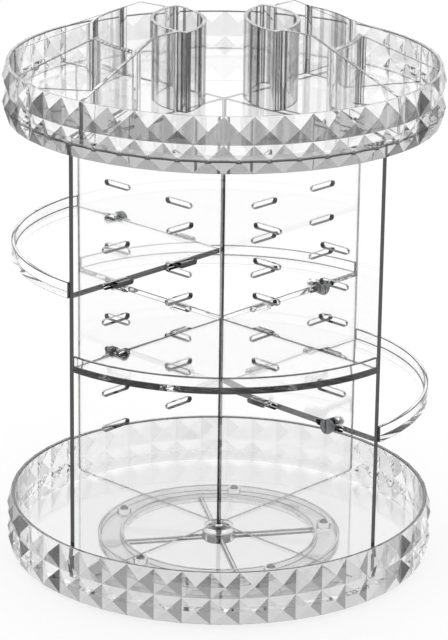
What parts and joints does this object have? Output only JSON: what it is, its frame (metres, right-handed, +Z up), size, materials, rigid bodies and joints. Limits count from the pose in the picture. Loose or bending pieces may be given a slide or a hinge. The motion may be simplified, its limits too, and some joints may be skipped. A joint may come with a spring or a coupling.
{
  "type": "rotating cosmetic organizer",
  "caption": "Clear round organizer with facetted trays, crossed panels that carry hanging quarter shelves, and a turntable foot on steel balls; the top tray has raised compartments.",
  "frame": {"origin": "on the table, on the axis of the turntable", "axes": "+Z up along the axis of the turntable, front at -Y"},
  "size_m": [0.2338, 0.2338, 0.2981],
  "materials": {
    "clear_plastic": "clear moulded polystyrene, polished",
    "foot_plastic": "clear moulded plastic",
    "lock_plastic": "smoky grey moulded plastic",
    "ball_steel": "polished bearing steel",
    "screw_steel": "zinc plated",
    "washer_plastic": "nylon",
    "pad_rubber": "soft translucent rubber"
  },
  "bodies": {
    "foot": {"turntable_foot": "foot_plastic", "foot_pads": "pad_rubber", "thrust_washer": "washer_plastic"},
    "carousel": {"base_tray": "clear_plastic", "pivot_screw": "screw_steel", "panel_front_left": "clear_plastic", "panel_front_right": "clear_plastic", "shelf_left": "clear_plastic", "shelf_front": "clear_plastic", "shelf_right": "clear_plastic", "shelf_back": "clear_plastic"},
    "top_tray": {"top_tray": "clear_plastic", "divider_right": "clear_plastic", "divider_left": "clear_plastic"},
    "ball_1": {"bearing_ball_1": "ball_steel"},
    "ball_2": {"bearing_ball_2": "ball_steel"},
    "ball_3": {"bearing_ball_3": "ball_steel"},
    "ball_4": {"bearing_ball_4": "ball_steel"},
    "ball_5": {"bearing_ball_5": "ball_steel"},
    "lock_left": {"lock_left": "lock_plastic"},
    "lock_front": {"lock_front": "lock_plastic"},
    "lock_right": {"lock_right": "lock_plastic"},
    "lock_back": {"lock_back": "lock_plastic"}
  },
  "joints": [
    {"name": "carousel_spin", "type": "hinge", "parent": "foot", "child": "carousel", "pos_m": [0, 0, 0.0095], "axis": [0, 0, 1], "continuous": true},
    {"name": "ball_1_roll", "type": "hinge", "parent": "foot", "child": "ball_1", "pos_m": [0.05958, 0.01051, 0.0067], "axis": [-0.9848, -0.1736, 0], "continuous": true},
    {"name": "ball_2_roll", "type": "hinge", "parent": "foot", "child": "ball_2", "pos_m": [0.00842, 0.05991, 0.0067], "axis": [-0.1392, -0.9903, 0], "continuous": true},
    {"name": "ball_3_roll", "type": "hinge", "parent": "foot", "child": "ball_3", "pos_m": [-0.05438, 0.02652, 0.0067], "axis": [0.8988, -0.4384, 0], "continuous": true},
    {"name": "ball_4_roll", "type": "hinge", "parent": "foot", "child": "ball_4", "pos_m": [-0.04203, -0.04352, 0.0067], "axis": [0.6947, 0.7193, 0], "continuous": true},
    {"name": "ball_5_roll", "type": "hinge", "parent": "foot", "child": "ball_5", "pos_m": [0.0284, -0.05342, 0.0067], "axis": [-0.4695, 0.8829, 0], "continuous": true},
    {"name": "lock_left_turn", "type": "hinge", "parent": "carousel", "child": "lock_left", "pos_m": [-0.05888, 0.05548, 0.1707], "axis": [-0.6858, -0.7278, 0], "range_deg": [0, 90]},
    {"name": "lock_front_turn", "type": "hinge", "parent": "carousel", "child": "lock_front", "pos_m": [-0.05548, -0.05888, 0.1314], "axis": [0.7278, -0.6858, 0], "range_deg": [0, 90]},
    {"name": "lock_right_turn", "type": "hinge", "parent": "carousel", "child": "lock_right", "pos_m": [0.05888, -0.05548, 0.0921], "axis": [0.6858, 0.7278, 0], "range_deg": [0, 90]},
    {"name": "lock_back_turn", "type": "hinge", "parent": "carousel", "child": "lock_back", "pos_m": [0.05548, 0.05888, 0.1314], "axis": [-0.7278, 0.6858, 0], "range_deg": [0, 90]},
    {"name": "top_tray_lift", "type": "slide", "parent": "carousel", "child": "top_tray", "axis": [0, 0, 1], "range_m": [0, 0.05]}
  ],
  "couplings": [
    {"joint": "ball_1_roll", "follows": "carousel_spin", "ratio": 24.2},
    {"joint": "ball_2_roll", "follows": "carousel_spin", "ratio": 24.2},
    {"joint": "ball_3_roll", "follows": "carousel_spin", "ratio": 24.2},
    {"joint": "ball_4_roll", "follows": "carousel_spin", "ratio": 24.2},
    {"joint": "ball_5_roll", "follows": "carousel_spin", "ratio": 24.2}
  ]
}
